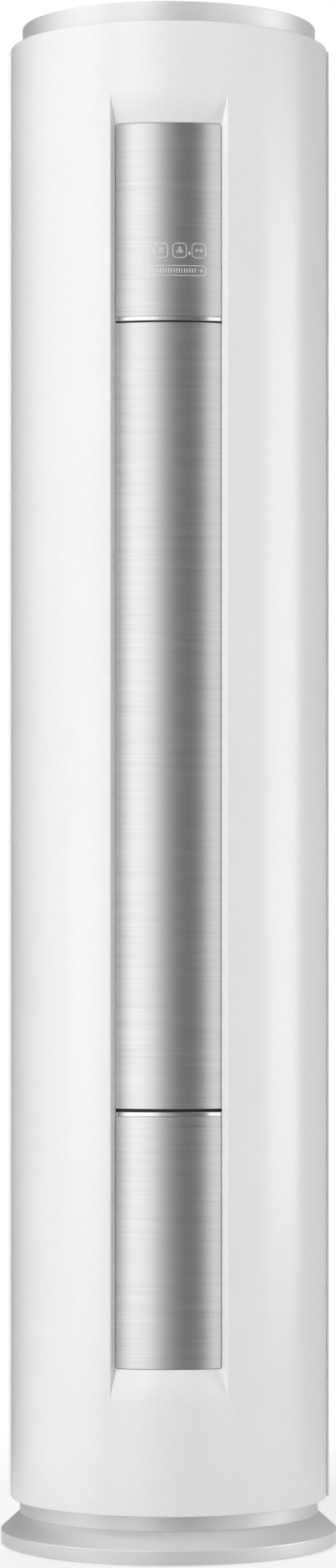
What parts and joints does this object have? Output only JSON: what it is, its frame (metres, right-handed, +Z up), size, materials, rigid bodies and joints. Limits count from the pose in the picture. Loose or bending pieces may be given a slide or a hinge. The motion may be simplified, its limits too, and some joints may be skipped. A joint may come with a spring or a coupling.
{
  "type": "floor standing air conditioner",
  "caption": "Round upright room air conditioner: white cylindrical cabinet with a recessed front channel, brushed metal panels and a sliding outlet door.",
  "frame": {"origin": "on the floor, under the middle of the round base", "axes": "+Z up along the cabinet's axis, the air outlet and display face -Y, +X is the viewer's right from the front"},
  "size_m": [0.399, 0.399, 1.8],
  "materials": {
    "white": "gloss",
    "silver": "satin",
    "silver_dark": "satin",
    "brushed": "brushed",
    "chrome": "polished",
    "rubber": "matte",
    "steel": "galvanised",
    "board": "matte",
    "dark_plastic": "matte",
    "nylon": "matte",
    "motor_case": "satin",
    "fins": "satin",
    "copper": "satin",
    "brass": "satin",
    "hose": "matte",
    "filter": "matte",
    "mesh": "woven"
  },
  "bodies": {
    "cabinet": {"base_skirt": "silver", "base_plate": "steel", "rubber_feet": "rubber", "neck_ring": "silver_dark", "front_shell": "white", "rear_shell": "white", "cap_ring": "silver", "top_cover": "silver_dark", "top_screws": "steel", "display_panel": "brushed", "display_board": "board", "trim_strips": "chrome", "lower_panel": "brushed", "chassis_posts": "steel", "lower_deck": "steel", "upper_deck": "steel", "outlet_frame": "dark_plastic", "door_rails": "dark_plastic", "stepper_motors": "steel", "fan_scroll": "dark_plastic", "fan_tongue": "dark_plastic", "fan_motor": "motor_case", "motor_bracket": "steel", "lower_bearing": "rubber", "evaporator_fins": "fins", "evaporator_tubes": "copper", "coil_end_plates": "steel", "gas_pipe": "copper", "liquid_pipe": "copper", "pipe_unions": "brass", "drain_pan": "dark_plastic", "drain_hose": "hose", "pipe_sleeve": "dark_plastic", "cord_gland": "dark_plastic", "electrical_box": "steel", "electrical_cover": "steel", "main_board": "board", "terminal_block": "nylon"},
    "door": {"outlet_door": "brushed", "door_frame": "dark_plastic", "door_rack": "nylon"},
    "pinion": {"door_pinion": "nylon"},
    "fan": {"cross_flow_fan": "dark_plastic", "fan_end_shaft": "steel", "motor_shaft": "steel"},
    "left_vane": {"vane_left": "dark_plastic"},
    "right_vane": {"vane_right": "dark_plastic"},
    "vane_link": {"vane_link_bar": "nylon"},
    "level_blade_1": {"blade_1": "dark_plastic"},
    "level_blade_2": {"blade_2": "dark_plastic"},
    "level_blade_3": {"blade_3": "dark_plastic"},
    "level_blade_4": {"blade_4": "dark_plastic"},
    "level_blade_5": {"blade_5": "dark_plastic"},
    "level_blade_6": {"blade_6": "dark_plastic"},
    "level_blade_7": {"blade_7": "dark_plastic"},
    "level_blade_8": {"blade_8": "dark_plastic"},
    "blade_link": {"blade_link_bar": "nylon"},
    "grille": {"intake_grille": "white"},
    "filter": {"filter_frame": "filter", "filter_mesh": "mesh"}
  },
  "joints": [
    {"name": "door_slide", "type": "hinge", "parent": "cabinet", "child": "door", "pos_m": [0, 0, 0.97665], "axis": [0, 0, 1], "range_deg": [0, 42]},
    {"name": "pinion_spin", "type": "hinge", "parent": "cabinet", "child": "pinion", "pos_m": [0.07289, -0.13708, 1.407], "axis": [0, 0, 1], "range_deg": [0, 767]},
    {"name": "fan_spin", "type": "hinge", "parent": "cabinet", "child": "fan", "pos_m": [0, 0.02, 0.97], "axis": [0, 0, 1], "continuous": true},
    {"name": "vane_swing", "type": "hinge", "parent": "cabinet", "child": "left_vane", "pos_m": [-0.026, -0.1, 0.97], "axis": [0, 0, 1], "range_deg": [-35, 35]},
    {"name": "right_vane_swing", "type": "hinge", "parent": "cabinet", "child": "right_vane", "pos_m": [0.026, -0.1, 0.97], "axis": [0, 0, 1], "range_deg": [-35, 35]},
    {"name": "vane_link_turn", "type": "hinge", "parent": "left_vane", "child": "vane_link", "pos_m": [-0.026, -0.082, 1.411], "axis": [0, 0, 1], "range_deg": [-35, 35]},
    {"name": "blade_tilt", "type": "hinge", "parent": "cabinet", "child": "level_blade_4", "pos_m": [0, -0.14, 0.92], "axis": [1, 0, 0], "range_deg": [-30, 30]},
    {"name": "blade_1_tilt", "type": "hinge", "parent": "cabinet", "child": "level_blade_1", "pos_m": [0, -0.14, 0.572], "axis": [1, 0, 0], "range_deg": [-30, 30]},
    {"name": "blade_2_tilt", "type": "hinge", "parent": "cabinet", "child": "level_blade_2", "pos_m": [0, -0.14, 0.688], "axis": [1, 0, 0], "range_deg": [-30, 30]},
    {"name": "blade_3_tilt", "type": "hinge", "parent": "cabinet", "child": "level_blade_3", "pos_m": [0, -0.14, 0.804], "axis": [1, 0, 0], "range_deg": [-30, 30]},
    {"name": "blade_5_tilt", "type": "hinge", "parent": "cabinet", "child": "level_blade_5", "pos_m": [0, -0.14, 1.036], "axis": [1, 0, 0], "range_deg": [-30, 30]},
    {"name": "blade_6_tilt", "type": "hinge", "parent": "cabinet", "child": "level_blade_6", "pos_m": [0, -0.14, 1.152], "axis": [1, 0, 0], "range_deg": [-30, 30]},
    {"name": "blade_7_tilt", "type": "hinge", "parent": "cabinet", "child": "level_blade_7", "pos_m": [0, -0.14, 1.268], "axis": [1, 0, 0], "range_deg": [-30, 30]},
    {"name": "blade_8_tilt", "type": "hinge", "parent": "cabinet", "child": "level_blade_8", "pos_m": [0, -0.14, 1.384], "axis": [1, 0, 0], "range_deg": [-30, 30]},
    {"name": "blade_link_turn", "type": "hinge", "parent": "level_blade_4", "child": "blade_link", "pos_m": [-0.0457, -0.128, 0.92], "axis": [1, 0, 0], "range_deg": [-30, 30]},
    {"name": "grille_pull", "type": "slide", "parent": "cabinet", "child": "grille", "axis": [0, 1, 0], "range_m": [0, 0.12]},
    {"name": "filter_lift", "type": "slide", "parent": "grille", "child": "filter", "axis": [0, 0, 1], "range_m": [0, 0.35]}
  ],
  "couplings": [
    {"joint": "pinion_spin", "follows": "door_slide", "ratio": 18.25},
    {"joint": "right_vane_swing", "follows": "vane_swing", "ratio": 1},
    {"joint": "vane_link_turn", "follows": "vane_swing", "ratio": -1},
    {"joint": "blade_1_tilt", "follows": "blade_tilt", "ratio": 1},
    {"joint": "blade_2_tilt", "follows": "blade_tilt", "ratio": 1},
    {"joint": "blade_3_tilt", "follows": "blade_tilt", "ratio": 1},
    {"joint": "blade_5_tilt", "follows": "blade_tilt", "ratio": 1},
    {"joint": "blade_6_tilt", "follows": "blade_tilt", "ratio": 1},
    {"joint": "blade_7_tilt", "follows": "blade_tilt", "ratio": 1},
    {"joint": "blade_8_tilt", "follows": "blade_tilt", "ratio": 1},
    {"joint": "blade_link_turn", "follows": "blade_tilt", "ratio": -1}
  ]
}
